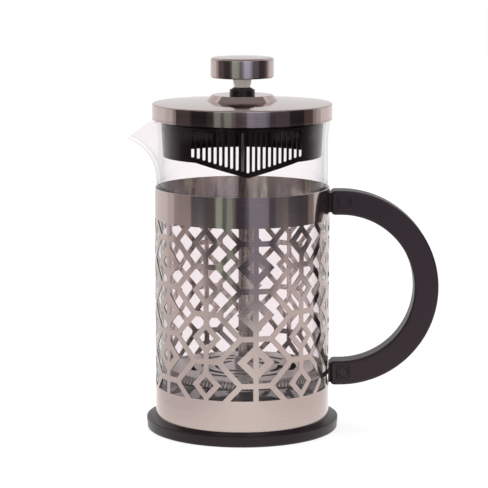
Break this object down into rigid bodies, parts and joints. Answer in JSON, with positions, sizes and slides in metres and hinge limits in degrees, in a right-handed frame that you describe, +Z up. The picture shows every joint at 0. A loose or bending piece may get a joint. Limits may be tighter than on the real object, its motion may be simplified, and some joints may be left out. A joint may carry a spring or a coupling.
{
  "type": "french press",
  "caption": "Coffee press with a pierced steel sleeve and C handle, lift-out glass beaker with pouring lip, turning lid with strainer, and sliding plunger with knob.",
  "frame": {"origin": "centre of the foot's flat underside", "axes": "+Z up along the beaker's axis, +X towards the handle, -X towards the pouring lip"},
  "size_m": [0.1622, 0.101, 0.1954],
  "materials": {
    "foot_plastic": "satin black moulded plastic",
    "cushion_rubber": "matt grey silicone",
    "sleeve_steel": "stainless steel brushed round the axis",
    "handle_plastic": "satin black moulded plastic",
    "screw_steel": "bright zinc-plated steel",
    "insert_brass": "turned brass",
    "beaker_glass": "clear borosilicate glass",
    "collar_plastic": "satin black moulded plastic",
    "lid_steel": "polished stainless steel",
    "basket_plastic": "satin black moulded plastic",
    "rod_steel": "drawn stainless steel",
    "knob_steel": "polished stainless steel",
    "knob_plastic": "off-white moulded plastic",
    "filter_steel": "stainless steel",
    "mesh_steel": "fine woven stainless steel mesh"
  },
  "bodies": {
    "frame": {"base_foot": "foot_plastic", "beaker_cushion": "cushion_rubber", "steel_sleeve": "sleeve_steel", "handle_grip": "handle_plastic", "upper_handle_screw": "screw_steel", "lower_handle_screw": "screw_steel", "upper_handle_insert": "insert_brass", "lower_handle_insert": "insert_brass"},
    "beaker": {"glass_beaker": "beaker_glass"},
    "collar": {"lid_collar": "collar_plastic"},
    "lid": {"lid_cover": "lid_steel", "strainer_basket": "basket_plastic"},
    "plunger": {"plunger_rod": "rod_steel", "knob_shell": "knob_steel", "knob_core": "knob_plastic", "knob_insert": "insert_brass", "hub_nut": "filter_steel", "spiral_plate": "filter_steel", "edge_spring": "filter_steel", "mesh_screen": "mesh_steel", "cross_plate": "filter_steel", "retaining_nut": "filter_steel"}
  },
  "joints": [
    {"name": "beaker_lift", "type": "slide", "parent": "frame", "child": "beaker", "axis": [0, 0, 1], "range_m": [0, 0.118]},
    {"name": "lid_lift", "type": "slide", "parent": "beaker", "child": "collar", "axis": [0, 0, 1], "range_m": [0, 0.16]},
    {"name": "lid_turn", "type": "hinge", "parent": "collar", "child": "lid", "pos_m": [0, 0, 0.1756], "axis": [0, 0, 1], "continuous": true},
    {"name": "plunger_slide", "type": "slide", "parent": "lid", "child": "plunger", "axis": [0, 0, 1], "range_m": [0, 0.1045]}
  ]
}
